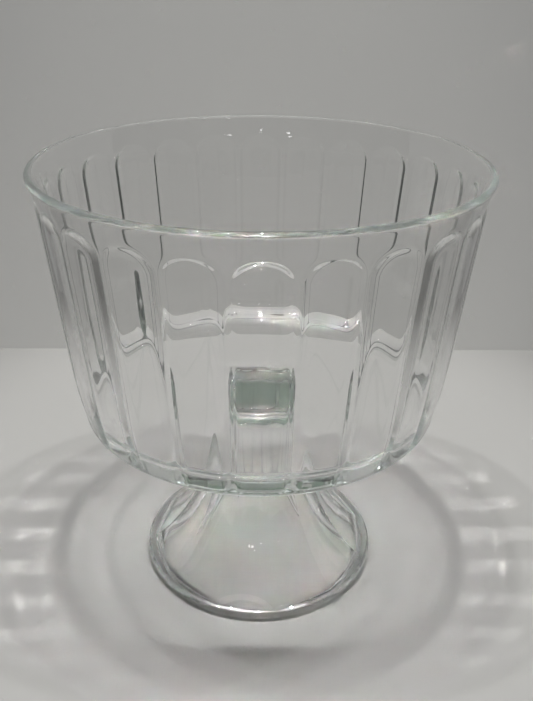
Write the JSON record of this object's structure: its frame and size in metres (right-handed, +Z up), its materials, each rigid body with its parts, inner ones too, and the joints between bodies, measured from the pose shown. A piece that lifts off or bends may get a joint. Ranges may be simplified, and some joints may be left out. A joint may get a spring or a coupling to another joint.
{
  "type": "trifle bowl",
  "caption": "Clear pressed-glass footed trifle bowl: deep round bowl with arched reeds below a plain flared lip, fused to a hollow flared foot with scooped panels; holds layered desserts.",
  "frame": {"origin": "Centre of the circle that the foot stands on, at table height", "axes": "+Z up along the bowl's axis; a reed of the bowl is centred on -Y, the front; +X to the right seen from the front"},
  "size_m": [0.204, 0.204, 0.216],
  "materials": {
    "bowl_glass": "clear pressed soda-lime glass, fire-polished",
    "foot_glass": "clear pressed soda-lime glass, fire-polished"
  },
  "bodies": {
    "root": {"bowl": "bowl_glass", "pedestal_foot": "foot_glass"}
  },
  "joints": []
}
